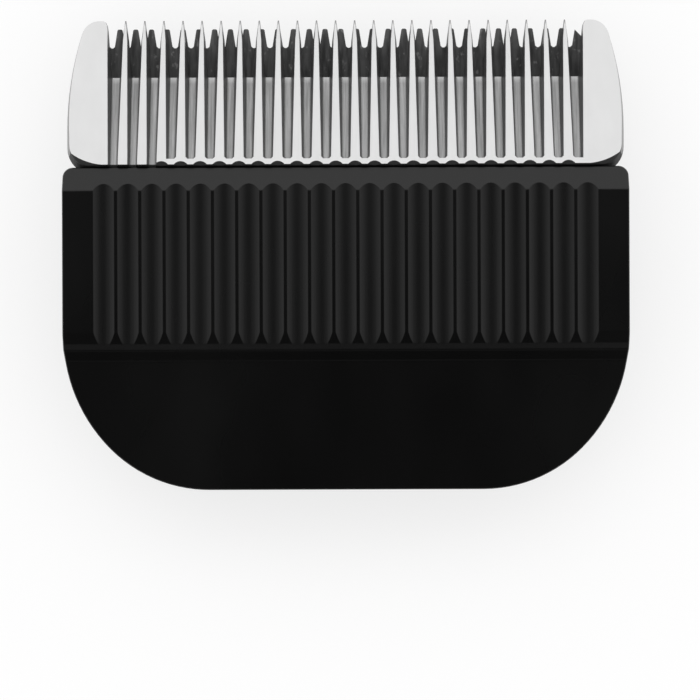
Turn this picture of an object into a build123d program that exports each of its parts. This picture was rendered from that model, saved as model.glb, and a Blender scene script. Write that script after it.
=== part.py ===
# Hair clipper blade head: a ground steel comb and a sliding cutter on a moulded housing.
# Millimetres. X runs along the cutting edge, Y points to the tooth tips, and Z from the rear rim
# to the front. The origin is the centre of the head's box, on the plane of the rear rim.
from build123d import *

import math
import os

# Whole head
head_width = 46.0
head_depth = 10.8
housing_height = 26.26
blade_reach = 12.34

# Housing shell
side_wall = 1.6
front_wall = 1.6
top_corner_radius = 0.8
bottom_corner_width = 11.85
bottom_corner_height = 12.6
front_edge_chamfer = 0.08
rear_relief_height = 10.3
rear_relief_depth = 4.0

# Front of the housing, from its top edge down
band_height = 1.91
band_angle = 25.0
panel_height = 11.55
groove_fall = 0.92
groove_depth = 0.185
ridge_rise = 0.53
ridge_drop = 0.165
ridge_fall = 0.9
lower_panel_drop = 0.6
crease_radius = 0.45

# Flutes of the upper panel
side_panel_width = 2.2
flute_pitch = 1.963
flute_width = 1.70
flute_depth = 0.25

# Inside of the housing
ear_width = 1.5
ear_reach = 2.1
ear_root = 3.0
catch_depth = 0.5
catch_height = 1.6
catch_length = 4.0
catch_level = 2.0
catch_drop = 5.0
hook_width = 8.0
hook_thickness = 1.3
hook_length = 4.6
hook_lip = 0.8
hook_lip_height = 1.2
hook_rise = 3.8

# Steel comb
slide_level = 6.7
seat_gap = 0.06
nose_thickness = 3.5
nose_setback = 0.16
flange_end = 4.5
flange_length = 8.0
flange_thickness = 1.3
flange_corner = 1.5
cheek_corner_radius = 2.2
cheek_curve_width = 2.7
cheek_curve_height = 9.1
cheek_curve_turn = 17.8
cheek_tip_land = 0.68
cheek_tip_round_width = 0.4
cheek_tip_round_height = 0.85
heel_radius = 4.3
tip_thickness = 0.22
tooth_pitch = 1.577
tooth_root_width = 0.76
tooth_neck_width = 0.34
tooth_tip_width = 0.03
tooth_point_length = 1.7
tooth_root_flare = 0.16
comb_draft = 9.5
comb_root_inset = 0.31
slot_open_length = 4.7
slot_end_rim = 0.46
slot_end_depth = 0.8
run_out_slots = 3
scallop_width = 1.1
scallop_depth = 0.24

# Cutter
film_gap = 0.02
cutter_thickness = 1.0
cutter_overlap = 0.8
cutter_bar_height = 8.1
cutter_tail_inset = 4.3
cutter_end_chamfer = 1.2
cutter_end_land = 0.6
cutter_setback = 0.70
cutter_pitch = 1.304
cutter_tooth_width = 0.40
cutter_tooth_corner = 0.08
valley_floor_width = 0.40
valley_depth = 1.58
valley_slope = 0.15
valley_relief = 3.0
valley_corner = 0.14
parked_offset = -0.36

# Guide rail behind the comb
rail_drop = 1.35
rail_gap = 0.05
rail_end = 2.5
rail_height = 3.7
rail_thickness = 1.0
rail_corner = 0.8

# Leaf spring
spring_thickness = 0.4
spring_gap = 0.03
spring_strip_foot = 1.4
spring_arm_width = 4.0
spring_arm_inset = 4.0
spring_arm_reach = 3.6
spring_step_run = 1.1
spring_step_gap = 0.4
spring_bend_radius = 0.5

# Drive yoke on the cutter
yoke_width = 26.0
yoke_height = 4.5
yoke_thickness = 1.5
yoke_drop = 0.4
fork_gap = 5.0
prong_width = 2.2
prong_height = 6.5
prong_overhang = 2.5
prong_depth = 3.4
prong_round = 0.8
peg_diameter = 2.5
peg_inset = 3.0
peg_depth = 0.8
peg_clearance = 0.05

# Blade screws
screw_inset = 8.5
screw_diameter = 2.0
screw_hole_clearance = 0.15
screw_pilot_clearance = 0.03
screw_tip_gap = 0.1
screw_cover = 0.55
screw_head_diameter = 3.8
screw_head_height = 1.2
screw_head_chamfer = 0.4
screw_slot_width = 0.6
screw_slot_depth = 0.5

# How far a cutting tool runs past the face that it cuts
overrun = 1.0

# Widths along X
comb_width = head_width - 2 * (cheek_curve_width + cheek_tip_land)
tooth_count = int(comb_width / tooth_pitch)
x_run_out = (run_out_slots - (tooth_count + 1) / 2) * tooth_pitch
cutter_width = comb_width + 2 * cutter_overlap
screw_spacing = head_width - 2 * screw_inset
flange_width = screw_spacing + 2 * flange_end
rail_width = screw_spacing + 2 * rail_end
peg_spacing = yoke_width - 2 * peg_inset
spring_arm_spacing = yoke_width - 2 * spring_arm_inset

# Levels along Y
overall_height = housing_height + blade_reach
y_bottom = -overall_height / 2
y_top = y_bottom + housing_height
y_tip = overall_height / 2
y_band = y_top - band_height
y_groove_start = y_band - panel_height
y_groove = y_groove_start - groove_fall
y_ridge = y_groove - ridge_rise
y_lower_panel = y_ridge - ridge_fall
y_step = y_top + seat_gap
y_face = y_step + nose_setback
y_slot_end = y_face + slot_end_rim
y_neck = y_tip - tooth_point_length
y_slot_exit = y_tip - slot_open_length
y_cutter_tip = y_tip - cutter_setback
y_shoulder = y_cutter_tip - cutter_bar_height
y_rail_top = y_top - rail_drop
y_cutter_tail = y_rail_top + rail_gap
y_screw = y_rail_top - rail_height / 2
y_yoke = y_top - yoke_drop

# Levels along Z
z_lower_panel = head_depth - lower_panel_drop
z_inner = z_lower_panel - front_wall
z_seat = slide_level + flange_thickness
z_face = slide_level + nose_thickness
z_tip = slide_level + tip_thickness
z_cutter_front = slide_level - film_gap
z_cutter_rear = z_cutter_front - cutter_thickness
z_rail_rear = slide_level - rail_thickness
z_spring_rear = z_rail_rear - spring_thickness
z_yoke_rear = z_cutter_rear - yoke_thickness
z_pilot_end = head_depth - flute_depth - screw_cover

# Slopes of the comb
face_slope = (z_face - z_tip) / (y_tip - y_face)
z_slot_end = z_face - slot_end_rim * face_slope - slot_end_depth
ramp_slope = (z_slot_end - slide_level) / (y_slot_exit - y_slot_end)
draft_slope = math.tan(math.radians(comb_draft))


def block(x_range, y_range, z_range):
    """Box between two limits along each axis."""
    x, y, z = ((a + b) / 2 for a, b in (x_range, y_range, z_range))
    size = [b - a for a, b in (x_range, y_range, z_range)]
    return Pos(x, y, z) * Box(*size)


def bar(points, width):
    """Solid with the given Y-Z outline, as wide as asked and centred on X."""
    outline = make_face(Polyline(*points, close=True))
    return extrude(Plane.YZ * outline, width / 2, both=True)


def plate(x_width, y_range, z_range, corner):
    """Flat plate centred on X, with rounded corners in the X-Y plane."""
    height = y_range[1] - y_range[0]
    outline = Pos(0, sum(y_range) / 2, z_range[0]) * RectangleRounded(x_width, height, corner)
    return extrude(outline, z_range[1] - z_range[0])


def upright(diameter, x, y, z_range):
    """Round bar along Z."""
    length = z_range[1] - z_range[0]
    return Pos(x, y, sum(z_range) / 2) * Cylinder(diameter / 2, length)


def flat_sided(front, rear):
    """Solid between two rims with the same number of corners, joined by flat sides."""
    corners = range(len(front))
    sides = [[front[i - 1], front[i], rear[i], rear[i - 1]] for i in corners]
    faces = [Face(Wire.make_polygon(rim)) for rim in (front, rear, *sides)]
    return Solid(Shell(faces))


def both_sides(solid):
    """A solid and its mirror image across the middle of the head."""
    return [solid, mirror(solid, about=Plane.YZ)]


# Housing


def housing_outline(inset, top):
    """Front outline of the housing, drawn in by a wall: wide two-arc corners below, small ones above."""
    half = head_width / 2 - inset
    low = y_bottom + inset
    radius = top_corner_radius
    spread = (bottom_corner_height - bottom_corner_width) / (math.sqrt(2) - 1)
    low_radius = bottom_corner_width - spread * (1 - math.sqrt(0.5)) - inset
    side_radius = low_radius + spread
    low_centre = (head_width / 2 - bottom_corner_width, low + low_radius)
    side_centre = (half - side_radius, y_bottom + bottom_corner_height)
    right = Curve() + [
        Line((0, low), (low_centre[0], low)),
        CenterArc(low_centre, low_radius, -90, 45),
        CenterArc(side_centre, side_radius, -45, 45),
        Line((half, side_centre[1]), (half, top - radius)),
        CenterArc((half - radius, top - radius), radius, 0, 90),
        Line((half - radius, top), (0, top)),
    ]
    return make_face(right + mirror(right, about=Plane.YZ))


def front_surface():
    """Everything behind the housing's front: chamfer band, panel, groove, ridge and lower panel."""
    band_slope = math.tan(math.radians(band_angle))
    above = (y_top + overrun, head_depth - (band_height + overrun) * band_slope)
    below = (y_bottom - overrun, z_lower_panel)
    front = FilletPolyline(
        above,
        (y_band, head_depth),
        (y_groove_start, head_depth),
        (y_groove, head_depth - groove_depth),
        (y_ridge, head_depth - ridge_drop),
        (y_lower_panel, z_lower_panel),
        below,
        radius=crease_radius,
    )
    rear = Polyline(below, (below[0], -overrun), (above[0], -overrun), above)
    return extrude(Plane.YZ * make_face(front + rear), head_width, both=True)


def on_front_rim(edge):
    """True for an edge where the housing's front surface meets its outer wall."""
    centre = edge.center()
    box = edge.bounding_box().size
    across = box.X > head_width / 4 and box.Y < crease_radius
    crease = across and y_bottom + crease_radius < centre.Y < y_top - crease_radius
    return centre.Z > head_depth * 3 / 4 and not crease


def make_flutes():
    """Round-bottomed cuts that run out through the band above and end in the groove below."""
    radius = ((flute_width / 2) ** 2 + flute_depth**2) / (2 * flute_depth)
    top = y_top + overrun
    count = int((head_width - 2 * side_panel_width) / flute_pitch)
    cut = Rot(90, 0, 0) * Cylinder(radius, top - y_groove)
    places = GridLocations(flute_pitch, 1, count, 1)
    middle = Pos(0, (top + y_groove) / 2, head_depth - flute_depth + radius)
    return [middle * place * cut for place in places]


def make_hook():
    """Tongue with a lip at the lower end, which hooks the head onto the clipper."""
    y_low = y_bottom + side_wall + hook_rise - hook_thickness
    y_high = y_low + hook_thickness
    z_end = z_inner - hook_length
    outline = [
        (y_low, z_inner + front_wall / 2),
        (y_low, z_end + hook_lip_height),
        (y_low - hook_lip, z_end + hook_lip_height),
        (y_low - hook_lip / 2, z_end),
        (y_high, z_end),
        (y_high, z_inner + front_wall / 2),
    ]
    return bar(outline, hook_width)


def make_catch():
    """Small ridge inside the side wall that snaps over the clipper's nose."""
    wall = head_width / 2 - side_wall
    y_high = y_top - catch_drop
    outline = make_face(
        Polyline(
            (wall, catch_level - catch_height / 2),
            (wall - catch_depth, catch_level),
            (wall, catch_level + catch_height / 2),
            close=True,
        )
    )
    return Pos(0, y_high, 0) * extrude(Plane.XZ * outline, catch_length)


def make_ear():
    """Post beside the cutter that carries the comb's cheek from behind."""
    wall = head_width / 2 - side_wall
    return block((wall - ear_width, wall), (y_top - ear_root, y_top + ear_reach), (0, slide_level))


def make_housing():
    """Moulded base: an open-backed shell with a fluted front."""
    body = extrude(housing_outline(0, y_top), head_depth + overrun) & front_surface()
    body = chamfer(body.edges().filter_by(on_front_rim), front_edge_chamfer)
    body -= make_flutes()

    inside = Pos(0, 0, -overrun) * housing_outline(side_wall, y_top + 2 * top_corner_radius)
    y_pocket = y_step - flange_length - seat_gap
    below_flange = block(
        (-head_width, head_width), (y_bottom - overrun, y_pocket), (-overrun, head_depth)
    )
    body -= extrude(inside, overrun + z_inner) & below_flange
    body -= extrude(inside, overrun + z_seat) - below_flange

    body += make_hook()
    for piece in (make_catch(), make_ear()):
        body += both_sides(piece)

    slope = rear_relief_depth / rear_relief_height
    body -= bar(
        [
            (y_bottom + rear_relief_height, 0),
            (y_bottom - overrun, rear_relief_depth + overrun * slope),
            (y_bottom - overrun, -overrun),
            (y_bottom + rear_relief_height, -overrun),
        ],
        2 * head_width,
    )
    pilot = screw_diameter + 2 * screw_pilot_clearance
    body -= both_sides(upright(pilot, screw_spacing / 2, y_screw, (slide_level, z_pilot_end)))
    return body


# Steel comb


def face_level(y):
    """Height of the comb's sloping front face."""
    return z_tip + (y_tip - y) * face_slope


def comb_solid(stations, flare, lift):
    """Solid from just above the comb's front face to just below its rear face, with drafted flanks.

    Each station is (y, half width on the front face); flare 1 widens it to the rear, -1 narrows it.
    """
    rims = []
    for rear in (False, True):
        points = []
        for y, half in stations:
            depth = face_level(y) - slide_level + lift if rear else -lift
            points.append((half + flare * depth * draft_slope, y, face_level(y) - depth))
        mirrored = [(-x, y, z) for x, y, z in reversed(points)]
        rims.append([*points, *mirrored])
    return flat_sided(*rims)


def make_tooth(root_flare, lift):
    """One tooth with drafted flanks, a little wider where it ends a closed slot, and a long point."""
    root_half = tooth_root_width / 2
    stations = [
        (y_step - overrun, root_half + root_flare),
        (y_slot_end, root_half + root_flare),
        (y_slot_end + tooth_root_flare, root_half),
        (y_neck, tooth_neck_width / 2),
        (y_tip, tooth_tip_width / 2),
    ]
    return comb_solid(stations, 1, lift)


def make_slots():
    """Cuts between the teeth: ramped floors that open at the rear face and end above the lower edge.

    The first few slots at the left end run out over that edge.
    """
    lift = tooth_tip_width / draft_slope / 4
    low = y_step - overrun
    opening = [(low, comb_width / 2 - comb_root_inset)]
    for turn in range(0, 91, 30):
        across = cheek_tip_round_width * (1 - math.cos(math.radians(turn)))
        down = cheek_tip_round_height * (1 - math.sin(math.radians(turn)))
        opening.append((y_tip - down, comb_width / 2 + across))
    opening.append((y_tip + overrun, comb_width / 2 + cheek_tip_round_width))
    z_under = slide_level - overrun * ramp_slope
    above_ramp = [
        (low, z_slot_end + (y_slot_end - low) * ramp_slope),
        (y_slot_exit + overrun, z_under),
        (y_tip + 2 * overrun, z_under),
        (y_tip + 2 * overrun, z_face + head_depth),
        (low, z_face + head_depth),
    ]
    slots = comb_solid(opening, -1, lift / 2) & bar(above_ramp, head_width)
    slots -= block((x_run_out, head_width), (low - overrun, y_slot_end), (0, 2 * head_depth))

    plain = make_tooth(0, lift)
    flared = make_tooth(tooth_root_flare, lift)
    teeth = []
    for i, place in enumerate(GridLocations(tooth_pitch, 1, tooth_count, 1)):
        teeth.append(place * (plain if i < run_out_slots else flared))
    return slots - teeth


def make_scallops():
    """Round notches in the lower edge of the face, one under each tooth that ends a closed slot."""
    radius = ((scallop_width / 2) ** 2 + scallop_depth**2) / (2 * scallop_depth)
    clear = (radius - scallop_depth) * math.sqrt(0.5)
    cut = Pos(0, y_face - clear, z_face + clear) * Rot(-45, 0, 0) * Cylinder(radius, 2 * overrun)
    places = GridLocations(tooth_pitch, 1, tooth_count, 1).locations
    return [place * cut for place in places[run_out_slots - 1 :]]


def nose_outline():
    """Rear outline of the comb's nose: round lower corners, cheeks that curve in to the tip line."""
    half = head_width / 2
    low = y_face - nose_thickness * draft_slope
    corner_centre = (half - cheek_corner_radius, low + cheek_corner_radius)

    turn = math.radians(cheek_curve_turn)
    across = 1 - math.cos(turn)
    along = 1 - math.sin(turn)
    tip_radius = cheek_curve_width * math.sin(turn) - cheek_curve_height * across
    tip_radius /= math.sin(turn) * math.cos(turn) - across * along
    cheek_radius = (cheek_curve_width - tip_radius * math.cos(turn)) / across
    cheek_centre = (half - cheek_radius, y_tip - cheek_curve_height)
    tip_centre = (half - cheek_curve_width, y_tip - tip_radius)

    right = Curve() + [
        Line((0, low), (corner_centre[0], low)),
        CenterArc(corner_centre, cheek_corner_radius, -90, 90),
        Line((half, corner_centre[1]), (half, cheek_centre[1])),
        CenterArc(cheek_centre, cheek_radius, 0, cheek_curve_turn),
        CenterArc(tip_centre, tip_radius, cheek_curve_turn, 90 - cheek_curve_turn),
        Line((tip_centre[0], y_tip), (0, y_tip)),
    ]
    return make_face(right + mirror(right, about=Plane.YZ))


def heel_prism():
    """Oblique column that leans back under the cheeks and rounds the lower edge of their faces."""
    half = comb_width / 2 - comb_root_inset + heel_radius
    low = y_face - nose_setback / 4
    outline = Pos(0, low + overall_height / 2) * Rectangle(2 * half, overall_height)
    outline = fillet(outline.vertices().group_by(Axis.Y)[0], heel_radius)
    drop = nose_thickness + overrun
    reach = (drop + overrun) * math.sqrt(2)
    return extrude(Pos(0, -drop, z_face - drop) * outline, reach, dir=(0, 1, 1))


def make_fixed_blade():
    """Ground steel comb: drafted, wedge-shaped toothed nose on a thin flange."""
    wedge = bar(
        [
            (y_step, slide_level),
            (y_tip + tip_thickness / face_slope, slide_level),
            (y_step, face_level(y_step)),
        ],
        2 * head_width,
    )
    column = Pos(0, 0, slide_level) * nose_outline()
    blade = wedge & extrude(column, nose_thickness + overrun, taper=comb_draft) & heel_prism()
    blade -= make_slots()
    blade -= make_scallops()
    flange_rows = (y_step - flange_length, y_face + flange_corner)
    blade += plate(flange_width, flange_rows, (slide_level, z_seat), flange_corner)
    hole = screw_diameter + 2 * screw_hole_clearance
    return blade - both_sides(upright(hole, screw_spacing / 2, y_screw, (0, head_depth)))


# Pieces behind the comb


def make_guide_rail():
    """Steel strip whose upper edge guides the cutter."""
    rows = (y_rail_top - rail_height, y_rail_top)
    rail = plate(rail_width, rows, (z_rail_rear, slide_level), rail_corner)
    hole = screw_diameter + 2 * screw_hole_clearance
    return rail - both_sides(upright(hole, screw_spacing / 2, y_screw, (0, head_depth)))


def make_tension_spring():
    """Stamped leaf: a strip under the screws with two stepped arms that press on the yoke."""
    y_step_end = y_yoke - spring_step_gap
    y_strip_top = y_step_end - spring_step_run
    rows = (y_screw - spring_strip_foot, y_strip_top)
    strip = plate(rail_width, rows, (z_spring_rear, z_rail_rear), rail_corner)
    z_strip = z_rail_rear - spring_thickness / 2
    z_arm = z_yoke_rear - spring_gap - spring_thickness / 2
    path = FilletPolyline(
        (y_screw, z_strip),
        (y_strip_top, z_strip),
        (y_step_end, z_arm),
        (y_step_end + spring_arm_reach, z_arm),
        radius=spring_bend_radius,
    )
    profile = Plane.YZ * trace(path, spring_thickness)
    arm = extrude(profile, spring_arm_width / 2, both=True)
    for place in GridLocations(spring_arm_spacing, 1, 2, 1):
        strip += place * arm
    hole = screw_diameter + 2 * screw_hole_clearance
    return strip - both_sides(upright(hole, screw_spacing / 2, y_screw, (0, head_depth)))


def make_screw(side):
    """Slotted pan-head screw, driven from behind."""
    z_head = z_spring_rear - screw_head_height
    head = upright(screw_head_diameter, 0, 0, (z_head, z_spring_rear))
    head = chamfer(head.edges().group_by(Axis.Z)[0], screw_head_chamfer)
    slot = block(
        (-screw_head_diameter, screw_head_diameter),
        (-screw_slot_width / 2, screw_slot_width / 2),
        (z_head - overrun, z_head + screw_slot_depth),
    )
    shank = upright(screw_diameter, 0, 0, (z_spring_rear, z_pilot_end - screw_tip_gap))
    return Pos(side * screw_spacing / 2, y_screw, 0) * (head - slot + shank)


# Cutter


def make_valley():
    """Cut between two cutter teeth: wider towards the rear, with a sloping floor."""
    mouth = cutter_pitch - cutter_tooth_width
    relief = cutter_thickness * math.tan(math.radians(valley_relief))
    wall_slope = (mouth - valley_floor_width) / 2 / valley_depth
    rims = []
    for z, depth, spread in (
        (z_cutter_front, valley_depth, 0),
        (z_cutter_rear, valley_depth - valley_slope, relief),
    ):
        floor_half = valley_floor_width / 2 + (valley_depth - depth) * wall_slope + spread
        mouth_half = mouth / 2 + spread
        corner = cutter_tooth_corner
        low = y_cutter_tip - depth
        points = [
            (floor_half - valley_corner, low, z),
            (floor_half + valley_corner * wall_slope, low + valley_corner, z),
            (mouth_half - corner * wall_slope, y_cutter_tip - corner, z),
            (mouth_half + corner, y_cutter_tip, z),
            (mouth_half + corner, y_cutter_tip + overrun, z),
        ]
        rims.append(points + [(-x, y, z) for x, y, z in reversed(points)])
    return flat_sided(*rims)


def make_moving_blade():
    """Thin toothed cutter with a narrower tail that runs along the guide rail."""
    levels = (z_cutter_rear, z_cutter_front)
    toothed = block((-cutter_width / 2, cutter_width / 2), (y_shoulder, y_cutter_tip), levels)
    toothed = chamfer(toothed.edges().filter_by(Axis.Z), cutter_end_chamfer)
    tail_half = cutter_width / 2 - cutter_tail_inset
    tail = block((-tail_half, tail_half), (y_cutter_tail, y_shoulder + cutter_end_chamfer), levels)
    cutter = toothed + tail
    count = int((cutter_width - 2 * cutter_end_land) / cutter_pitch)
    valley = make_valley()
    cutter -= [place * valley for place in GridLocations(cutter_pitch, 1, count, 1)]
    hole = peg_diameter + 2 * peg_clearance
    y_peg = y_yoke + yoke_height / 2
    cutter -= both_sides(upright(hole, peg_spacing / 2, y_peg, (0, head_depth)))
    return Pos(parked_offset, 0, 0) * cutter


def make_drive_yoke():
    """Plastic block on the cutter: a bar with two pegs and a fork for the drive pin."""
    half = yoke_width / 2
    y_peg = y_yoke + yoke_height / 2
    yoke = block((-half, half), (y_yoke, y_yoke + yoke_height), (z_yoke_rear, z_cutter_rear))
    z_prong = z_yoke_rear - prong_depth
    y_prong = y_yoke - prong_overhang
    prong = block(
        (fork_gap / 2, fork_gap / 2 + prong_width),
        (y_prong, y_prong + prong_height),
        (z_prong, z_yoke_rear),
    )
    prong = fillet(prong.edges().filter_by(Axis.X).group_by(Axis.Z)[0], prong_round)
    peg = upright(peg_diameter, peg_spacing / 2, y_peg, (z_cutter_rear, z_cutter_rear + peg_depth))
    for piece in (prong, peg):
        yoke += both_sides(piece)
    return Pos(parked_offset, 0, 0) * yoke


pieces = {
    "housing": make_housing(),
    "fixed_blade": make_fixed_blade(),
    "guide_rail": make_guide_rail(),
    "tension_spring": make_tension_spring(),
    "blade_screw_left": make_screw(-1),
    "blade_screw_right": make_screw(1),
    "moving_blade": make_moving_blade(),
    "drive_yoke": make_drive_yoke(),
}

os.makedirs("parts", exist_ok=True)
for name, piece in pieces.items():
    export_step(piece, f"parts/{name}.step")
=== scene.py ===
import math

import bpy
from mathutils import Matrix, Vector

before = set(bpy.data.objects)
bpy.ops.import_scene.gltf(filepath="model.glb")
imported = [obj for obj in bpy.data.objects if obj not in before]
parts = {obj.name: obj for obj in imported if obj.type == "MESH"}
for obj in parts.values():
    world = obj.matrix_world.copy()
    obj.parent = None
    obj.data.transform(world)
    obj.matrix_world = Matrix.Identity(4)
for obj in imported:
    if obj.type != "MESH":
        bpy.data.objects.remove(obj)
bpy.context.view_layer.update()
scene = bpy.context.scene
scene.view_settings.view_transform = "Standard"

WHITE = (1, 1, 1, 1)
NOISE_SPAN = (0.3, 0.7)  # most of a noise lies between these
SHARP_FROM = math.radians(24)  # an edge that turns by more than this stays sharp

# Comb: how its ground front face is found.
FACE_TILT = math.radians(18)  # the face lies within this of level
FACE_RISE = 0.1  # its normal leans at least this much to +Y
ON_FACE = 0.000005  # a vertex this near its plane is on it

# Comb: where a finish, a painted shade or a painted highlight begins and where it is full, or the
# other way round.
BELOW_FACE = (0.00004, 0.00012)  # depth under the face
FLANK_TURN = (0.5, 0.85)  # sideways part of the normal
HEEL_TURN = (-0.1, -0.4)  # Y of the normal
RUN_OUT_EDGE = (0.00002, 0.00006)  # height over the face's lower edge
THIN_END = (0.00004, 0.0002)  # height over the rear face
TIP_SHADE_SPAN = (-0.00045, -0.0001)  # place along Y from the tips
TEETH_HALF_SPAN = 0.0192  # the cheeks begin beyond this
CORNER_REACH = 0.0002  # how far from a corner the painted shade reaches
CORNER_OPEN = (0.6, 0.85)  # how open the surface is there

# Comb: greys, painted shade and highlight tones, and shine.
FACE_TONES = (0.75, 0.78)
SLOT_FLOOR_TONES = (0.30, 0.58)
# Painted highlight at the slots' thin end.
THIN_END_HIGHLIGHT_TONE, THIN_END_SHARE = 0.8, 0.6
# Painted shade in the slot corners.
CORNER_SHADE_TONE, CORNER_SHARE = 0.12, 0.9
# Painted shade on the tooth tips.
TIP_SHADE_TONE, TIP_SHARE = 0.12, 0.8
# Painted shade: the slot flanks get a flat dark grey in place of the shade that falls between the
# teeth.
FLANK_SHADE_TONE = 0.25
# Painted shade on the slot run-outs.
RUN_OUT_SHADE_TONE = 0.02
# Painted shade on the down-facing heel.
HEEL_SHADE_TONE = 0.045
GROUND_METALLIC, DULL_METALLIC = 0.8, 0.3
FACE_ROUGHNESS, SLOT_ROUGHNESS, DULL_ROUGHNESS = 0.30, 0.42, 0.8

# Cutter.
COATING_TONES = (0.03, 0.085)
COATING_STREAKS = (0.35, 0.65)  # span of the noise, as for the specks
COATING_TIP_SPAN = (-0.0018, 0.0)  # place along Y from the tips
CUTTER_TIP_TONE, CUTTER_TIP_SHARE = 0.16, 0.7
SPECK_SPAN = (0.63, 0.72)
SPECK_TONE, SPECK_SHARE = 0.2, 0.8
COATING_METALLIC = 0.35
COATING_ROUGHNESS = (0.38, 0.5)

# Housing: what counts as a flute, and how much paler it is painted, a painted sheen.
FLUTE_LEVEL = (0.06, 0.12)  # Y of the normal
FLUTE_STARTS = (0.00001, 0.00004)  # depth under the front panel
FLUTE_ENDS = (0.00026, 0.0003)  # the same depth, past the flutes
FLUTE_UP = (0.6, 0.7)  # Z of the normal
FLUTE_SHEEN_PALER = 2.2

# Rolled steel and plastic: how far tone and roughness stray.
STEEL_DARKER, STEEL_LIGHTER = 0.9, 1.08
STEEL_SMOOTHER, STEEL_ROUGHER = 0.05, 0.07
PLASTIC_ROUGHNESS_STRAY = 0.03
PLASTIC_IOR = 1.5

# Floor and studio walls; a wall is given by the direction that it lies in.
FLOOR_HALF = 2.0
FLOOR_TONES = (0.95, 0.97)
FLOOR_WHITE_SHARE = 0.68
BEYOND_EDGE = (0.22, 0.42)
ASIDE_EDGE, ASIDE_LEVEL = (0.2, 0.95), 0.62
BEFORE_MIDDLE, BEFORE_EDGE, BEFORE_LEVEL = -0.6, (0.04, 0.14), 0.15
DARK_LEVEL, WHITE_LEVEL = 0.015, 1.0


def grey(value):
    """Linear grey."""
    return (value, value, value, 1)


def from_level(level, span):
    """Both ends of a span that is measured from a level."""
    return [level + end for end in span]


class Nodes:
    """A node tree with short calls to add and join nodes."""

    def __init__(self, tree):
        self.tree = tree
        tree.nodes.clear()

    def add(self, kind, inputs=None, **settings):
        """New node; an input is a plain value or the socket that feeds it."""
        node = self.tree.nodes.new(kind)
        for name, value in settings.items():
            setattr(node, name, value)
        for socket, value in (inputs or {}).items():
            if isinstance(value, bpy.types.NodeSocket):
                self.tree.links.new(value, node.inputs[socket])
            else:
                node.inputs[socket].default_value = value
        return node

    def math(self, operation, a, b=0.0):
        return self.add("ShaderNodeMath", {0: a, 1: b}, operation=operation).outputs[0]

    def remap(self, value, low, high, to_low, to_high, smooth=False):
        inputs = {"Value": value, 1: low, 2: high, 3: to_low, 4: to_high}
        kind = "SMOOTHSTEP" if smooth else "LINEAR"
        return self.add("ShaderNodeMapRange", inputs, interpolation_type=kind).outputs[0]

    def mix(self, factor, a, b):
        """Colour mix; sockets 0, 6 and 7 are the factor and the two colours."""
        return self.add("ShaderNodeMix", {0: factor, 6: a, 7: b}, data_type="RGBA").outputs[2]

    def tones(self, noise, dark, light, span=NOISE_SPAN):
        """Grey between two tones, by a noise."""
        return self.mix(self.remap(noise, *span, 0.0, 1.0), grey(dark), grey(light))

    def noise(self, stretch, detail=2.0, roughness=0.5, offset=(0, 0, 0)):
        """Noise in object space with a count of features per metre along each axis."""
        inputs = {"Vector": self.position(), "Scale": stretch, "Location": offset}
        place = self.add("ShaderNodeMapping", inputs).outputs[0]
        inputs = {"Vector": place, "Scale": 1.0, "Detail": detail, "Roughness": roughness}
        return self.add("ShaderNodeTexNoise", inputs).outputs["Fac"]

    def bump(self, height, strength, distance):
        inputs = {"Height": height, "Strength": strength, "Distance": distance}
        return self.add("ShaderNodeBump", inputs).outputs[0]

    def position(self):
        """Place in the frame, as one vector."""
        return self.add("ShaderNodeTexCoord").outputs["Object"]

    def place(self):
        """Place in the frame, one socket per axis."""
        return self.add("ShaderNodeSeparateXYZ", {0: self.position()}).outputs

    def facing(self):
        """Direction that the surface faces, one socket per axis."""
        facing = self.add("ShaderNodeNewGeometry").outputs["True Normal"]
        return self.add("ShaderNodeSeparateXYZ", {0: facing}).outputs


def material(name):
    """New material and its emptied node tree."""
    made = bpy.data.materials.new(name)
    made.use_nodes = True
    return made, Nodes(made.node_tree)


def finish_surface(nodes, inputs):
    """Principled surface with these inputs, as the material's output."""
    surface = nodes.add("ShaderNodeBsdfPrincipled", inputs)
    nodes.add("ShaderNodeOutputMaterial", {0: surface.outputs[0]})


def front_face(part):
    """Normal, offset and lowest Y of the comb's ground face, found by its largest triangle."""
    steepest = math.cos(FACE_TILT)
    facing = [p for p in part.data.polygons if p.normal.z > steepest and p.normal.y > FACE_RISE]
    largest = max(facing, key=lambda p: p.area)
    normal = largest.normal.copy()
    offset = normal.dot(largest.center)
    on_face = [v.co.y for v in part.data.vertices if abs(normal.dot(v.co) - offset) < ON_FACE]
    return normal, offset, min(on_face)


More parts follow.
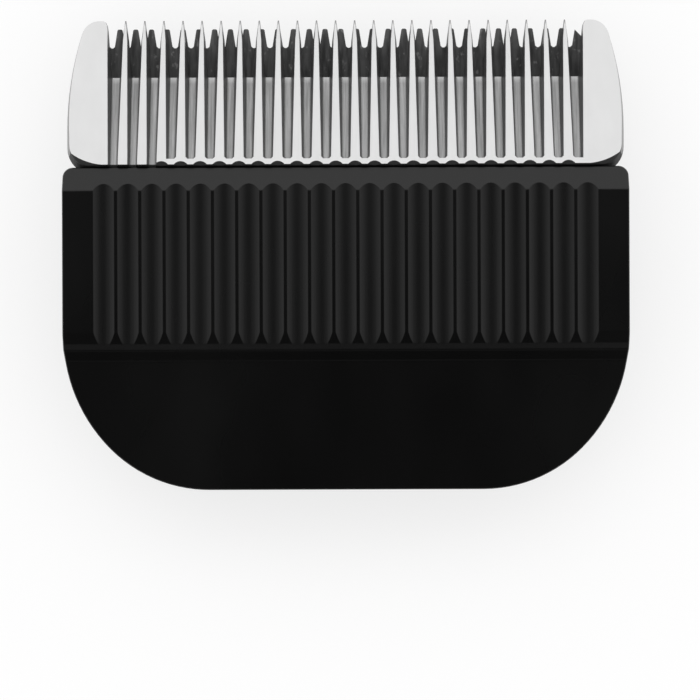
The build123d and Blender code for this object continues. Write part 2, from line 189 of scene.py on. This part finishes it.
def ground_steel(part):
    """Bright ground comb with milled slots and a dull heel; painted shade on the tooth tips, slot
    flanks, slot corners, slot run-outs and heel, and a painted highlight at the slots' thin end.
    """
    made, nodes = material("ground_steel")
    normal, offset, lower_edge = front_face(part)
    rear = min(vertex.co.z for vertex in part.data.vertices)
    tip = max(vertex.co.y for vertex in part.data.vertices)
    facing = nodes.facing()
    axes = nodes.place()

    inputs = {0: nodes.position(), 1: normal}
    level = nodes.add("ShaderNodeVectorMath", inputs, operation="DOT_PRODUCT").outputs["Value"]
    depth = nodes.math("SUBTRACT", offset, level)
    in_slot = nodes.remap(depth, *BELOW_FACE, 0.0, 1.0)
    # Painted shade on the slot flanks, chosen by how far the surface faces sideways.
    flank_shade = nodes.remap(nodes.math("ABSOLUTE", facing[0]), *FLANK_TURN, 0.0, 1.0)
    flank_shade = nodes.math("MULTIPLY", flank_shade, in_slot)
    # Painted shade: surfaces that face down (-Y), the heel, are darkened for the shade under the
    # face; the same mask also makes them dull, a real finish.
    shaded_dull_heel = nodes.remap(facing[1], *HEEL_TURN, 0.0, 1.0)
    # Painted shade: slot floors below the face's lower edge are near black, for the shade in the gap
    # there; they are also made dull.
    shaded_run_out = nodes.remap(axes[1], *from_level(lower_edge, RUN_OUT_EDGE), 1.0, 0.0)
    shaded_run_out = nodes.math("MULTIPLY", shaded_run_out, in_slot)
    dull = nodes.math("MAXIMUM", shaded_dull_heel, shaded_run_out)
    # Painted highlight: slot floors grow paler where they come within a fraction of a millimetre of
    # the rear face.
    thin_end_highlight = nodes.remap(axes[2], *from_level(rear, THIN_END), THIN_END_SHARE, 0.0)
    # Painted shade: the teeth darken over their last part towards the tips, in place of the dark
    # their rounded ends reflect.
    on_tooth = nodes.math("LESS_THAN", nodes.math("ABSOLUTE", axes[0]), TEETH_HALF_SPAN)
    shaded_tip = nodes.remap(axes[1], *from_level(tip, TIP_SHADE_SPAN), 0.0, TIP_SHARE)
    shaded_tip = nodes.math("MULTIPLY", on_tooth, shaded_tip)
    # Painted shade: slot surfaces darken near their corners, where little is open around them, in
    # place of the shade that falls there.
    inputs = {"Distance": CORNER_REACH}
    open_sky = nodes.add("ShaderNodeAmbientOcclusion", inputs, samples=8, only_local=True)
    corner_shade = nodes.remap(open_sky.outputs["AO"], *CORNER_OPEN, CORNER_SHARE, 0.0)
    corner_shade = nodes.math("MULTIPLY", corner_shade, in_slot)

    lines = nodes.noise((9000, 90, 900), detail=4.0, roughness=0.6)
    milling = nodes.noise((5200, 130, 500), detail=4.0, roughness=0.65, offset=(3, 1, 2))
    patches = nodes.noise((700, 350, 350), offset=(3, 1, 2))
    floor_tone = nodes.mix(thin_end_highlight, nodes.tones(milling, *SLOT_FLOOR_TONES), grey(THIN_END_HIGHLIGHT_TONE))
    tone = nodes.mix(in_slot, nodes.tones(patches, *FACE_TONES), floor_tone)
    for mask, shade in (
        (corner_shade, CORNER_SHADE_TONE),
        (flank_shade, FLANK_SHADE_TONE),
        (shaded_tip, TIP_SHADE_TONE),
        (shaded_run_out, RUN_OUT_SHADE_TONE),
        (shaded_dull_heel, HEEL_SHADE_TONE),
    ):
        tone = nodes.mix(mask, tone, grey(shade))
    roughness = nodes.remap(in_slot, 0.0, 1.0, FACE_ROUGHNESS, SLOT_ROUGHNESS)
    dull_roughness = nodes.math("MULTIPLY", dull, DULL_ROUGHNESS)
    grain = nodes.mix(in_slot, lines, milling)
    finish_surface(
        nodes,
        {
            "Base Color": tone,
            "Metallic": nodes.remap(dull, 0.0, 1.0, GROUND_METALLIC, DULL_METALLIC),
            "Roughness": nodes.math("MAXIMUM", roughness, dull_roughness),
            "Normal": nodes.bump(grain, strength=0.05, distance=0.00002),
        },
    )
    return made


def rolled_steel(name, tone, roughness, stretch):
    """Plain steel strip or turned screw with faint lines along one direction."""
    made, nodes = material(name)
    lines = nodes.noise(stretch, detail=4.0, roughness=0.6)
    smoother, rougher = roughness - STEEL_SMOOTHER, roughness + STEEL_ROUGHER
    finish_surface(
        nodes,
        {
            "Base Color": nodes.tones(lines, tone * STEEL_DARKER, tone * STEEL_LIGHTER),
            "Metallic": 1.0,
            "Roughness": nodes.remap(lines, *NOISE_SPAN, smoother, rougher),
            "Normal": nodes.bump(lines, strength=0.1, distance=0.00002),
        },
    )
    return made


def dark_coating(part):
    """Charcoal coating on the cutter: semi-matt, streaked, with paler specks and teeth that grow
    paler towards their tips.
    """
    made, nodes = material("dark_coating")
    tip = max(vertex.co.y for vertex in part.data.vertices)
    # The cutter's teeth grow paler towards their tips.
    tip_paling = nodes.remap(nodes.place()[1], *from_level(tip, COATING_TIP_SPAN), 0.0, CUTTER_TIP_SHARE)
    streaks = nodes.noise((2600, 420, 500), detail=4.0, roughness=0.6)
    specks = nodes.noise((2400, 1700, 1700), offset=(5, 2, 1))
    specks = nodes.remap(specks, *SPECK_SPAN, 0.0, SPECK_SHARE)
    shade = nodes.tones(streaks, *COATING_TONES, span=COATING_STREAKS)
    shade = nodes.mix(nodes.math("MULTIPLY", tip_paling, streaks), shade, grey(CUTTER_TIP_TONE))
    shade = nodes.mix(specks, shade, grey(SPECK_TONE))
    finish_surface(
        nodes,
        {
            "Base Color": shade,
            "Metallic": COATING_METALLIC,
            "Roughness": nodes.remap(streaks, *NOISE_SPAN, *COATING_ROUGHNESS),
            "Normal": nodes.bump(streaks, strength=0.15, distance=0.00002),
        },
    )
    return made


def in_flutes(nodes, part):
    """Mask of the flutes and of the strip under them: just below the front panel, level along Y."""
    front = max(vertex.co.z for vertex in part.data.vertices)
    depth = nodes.math("SUBTRACT", front, nodes.place()[2])
    facing = nodes.facing()
    mask = nodes.remap(depth, *FLUTE_STARTS, 0.0, 1.0)
    for limit in (
        nodes.remap(nodes.math("ABSOLUTE", facing[1]), *FLUTE_LEVEL, 1.0, 0.0),
        nodes.remap(depth, *FLUTE_ENDS, 1.0, 0.0),
        nodes.remap(facing[2], *FLUTE_UP, 0.0, 1.0),
    ):
        mask = nodes.math("MULTIPLY", mask, limit)
    return mask


def moulded_plastic(name, dark, light, roughness, stretch, fluted=None):
    """Moulded plastic with a fine spark-eroded grain and faint flow marks; any flutes get a paler
    tone, a painted sheen for the side light they catch.
    """
    made, nodes = material(name)
    grain = nodes.noise((9000, 9000, 9000))
    flow = nodes.noise(stretch, offset=(1, 4, 2))
    shade = nodes.tones(flow, dark, light)
    if fluted:
        # Painted sheen: the flutes and the strip under them are paler, for the side light their
        # surface catches.
        shade = nodes.mix(in_flutes(nodes, fluted), shade, grey(FLUTE_SHEEN_PALER * light))
    rough_span = from_level(roughness, (-PLASTIC_ROUGHNESS_STRAY, PLASTIC_ROUGHNESS_STRAY))
    finish_surface(
        nodes,
        {
            "Base Color": shade,
            "Roughness": nodes.remap(flow, *NOISE_SPAN, *rough_span),
            "IOR": PLASTIC_IOR,
            "Normal": nodes.bump(grain, strength=0.05, distance=0.00001),
        },
    )
    return made


def pale_floor():
    """Matt white floor; seen directly or in a mirror it is part plain white, for a light shadow."""
    made, nodes = material("pale_floor")
    shade = nodes.tones(nodes.noise((6, 6, 6)), *FLOOR_TONES)
    matt = nodes.add("ShaderNodeBsdfDiffuse", {"Color": shade})
    white = nodes.add("ShaderNodeEmission", {"Color": WHITE, "Strength": 1.0})
    rays = nodes.add("ShaderNodeLightPath").outputs
    mirrored = nodes.math("MAXIMUM", rays["Is Glossy Ray"], rays["Is Transmission Ray"])
    seen = nodes.math("MAXIMUM", rays["Is Camera Ray"], mirrored)
    share = nodes.math("MULTIPLY", seen, FLOOR_WHITE_SHARE)
    both = nodes.add("ShaderNodeMixShader", {0: share, 1: matt.outputs[0], 2: white.outputs[0]})
    nodes.add("ShaderNodeOutputMaterial", {0: both.outputs[0]})
    return made


screw_steel = rolled_steel("screw_steel", 0.60, 0.28, (2500, 2500, 600))
looks = {
    "housing": moulded_plastic(
        "black_plastic", 0.0017, 0.0023, 0.27, (120, 60, 60), fluted=parts["housing"]
    ),
    "fixed_blade": ground_steel(parts["fixed_blade"]),
    "moving_blade": dark_coating(parts["moving_blade"]),
    "guide_rail": rolled_steel("strip_steel", 0.52, 0.34, (300, 7000, 700)),
    "tension_spring": rolled_steel("spring_steel", 0.58, 0.26, (6000, 300, 600)),
    "blade_screw_left": screw_steel,
    "blade_screw_right": screw_steel,
    "drive_yoke": moulded_plastic("yoke_plastic", 0.50, 0.56, 0.45, (150, 80, 80)),
}
for name, look in looks.items():
    part = parts[name]
    part.data.materials.clear()
    part.data.materials.append(look)
    part.data.shade_smooth()
    part.data.set_sharp_from_angle(angle=SHARP_FROM)


def make_floor():
    """Large pale floor that the head lies on."""
    corners = [(x * FLOOR_HALF, y * FLOOR_HALF, 0) for x, y in ((-1, -1), (1, -1), (1, 1), (-1, 1))]
    mesh = bpy.data.meshes.new("floor")
    mesh.from_pydata(corners, [], [(0, 1, 2, 3)])
    floor = bpy.data.objects.new("floor", mesh)
    mesh.materials.append(pale_floor())
    scene.collection.objects.link(floor)


def make_world():
    """Studio walls: white beyond the teeth, grey to both sides, a faint band below; dark overhead."""
    world = bpy.data.worlds.new("studio")
    world.use_nodes = True
    scene.world = world
    nodes = Nodes(world.node_tree)
    way = nodes.add("ShaderNodeTexCoord").outputs["Generated"]
    axes = nodes.add("ShaderNodeSeparateXYZ", {0: way}).outputs
    beyond = nodes.remap(axes[1], *BEYOND_EDGE, 0.0, 1.0, smooth=True)
    aside = nodes.remap(nodes.math("ABSOLUTE", axes[0]), *ASIDE_EDGE, 0.0, ASIDE_LEVEL)
    before = nodes.math("ABSOLUTE", nodes.math("SUBTRACT", axes[1], BEFORE_MIDDLE))
    before = nodes.remap(before, *BEFORE_EDGE, BEFORE_LEVEL, 0.0, smooth=True)
    bright = nodes.math("MAXIMUM", nodes.math("MAXIMUM", beyond, aside), before)
    level = nodes.remap(bright, 0.0, 1.0, DARK_LEVEL, WHITE_LEVEL)
    sky = nodes.add("ShaderNodeBackground", {"Color": WHITE, "Strength": level})
    nodes.add("ShaderNodeOutputWorld", {0: sky.outputs[0]})


def make_lamp(name, place, target, size, power):
    """Soft lamp that lights matt surfaces from above."""
    data = bpy.data.lights.new(name, "AREA")
    data.shape = "DISK"
    data.size = size
    data.energy = power
    lamp = bpy.data.objects.new(name, data)
    lamp.location = place
    lamp.rotation_euler = (Vector(place) - Vector(target)).to_track_quat("Z", "Y").to_euler()
    lamp.visible_glossy = False
    scene.collection.objects.link(lamp)


def make_camera():
    """Straight above the front of the head, a little below its middle, with a slight roll."""
    data = bpy.data.cameras.new("camera")
    data.sensor_width = 36.0
    data.lens = 126.95
    data.clip_start = 0.01
    data.dof.use_dof = False
    camera = bpy.data.objects.new("camera", data)
    camera.location = (0.00031, -0.00796, 0.2108)
    camera.rotation_euler = (0, 0, math.radians(-0.2))
    scene.collection.objects.link(camera)
    scene.camera = camera


make_floor()
make_world()
make_lamp("top_lamp", place=(0.0, -0.1, 1.0), target=(0, 0, 0), size=2.4, power=14.0)
make_camera()
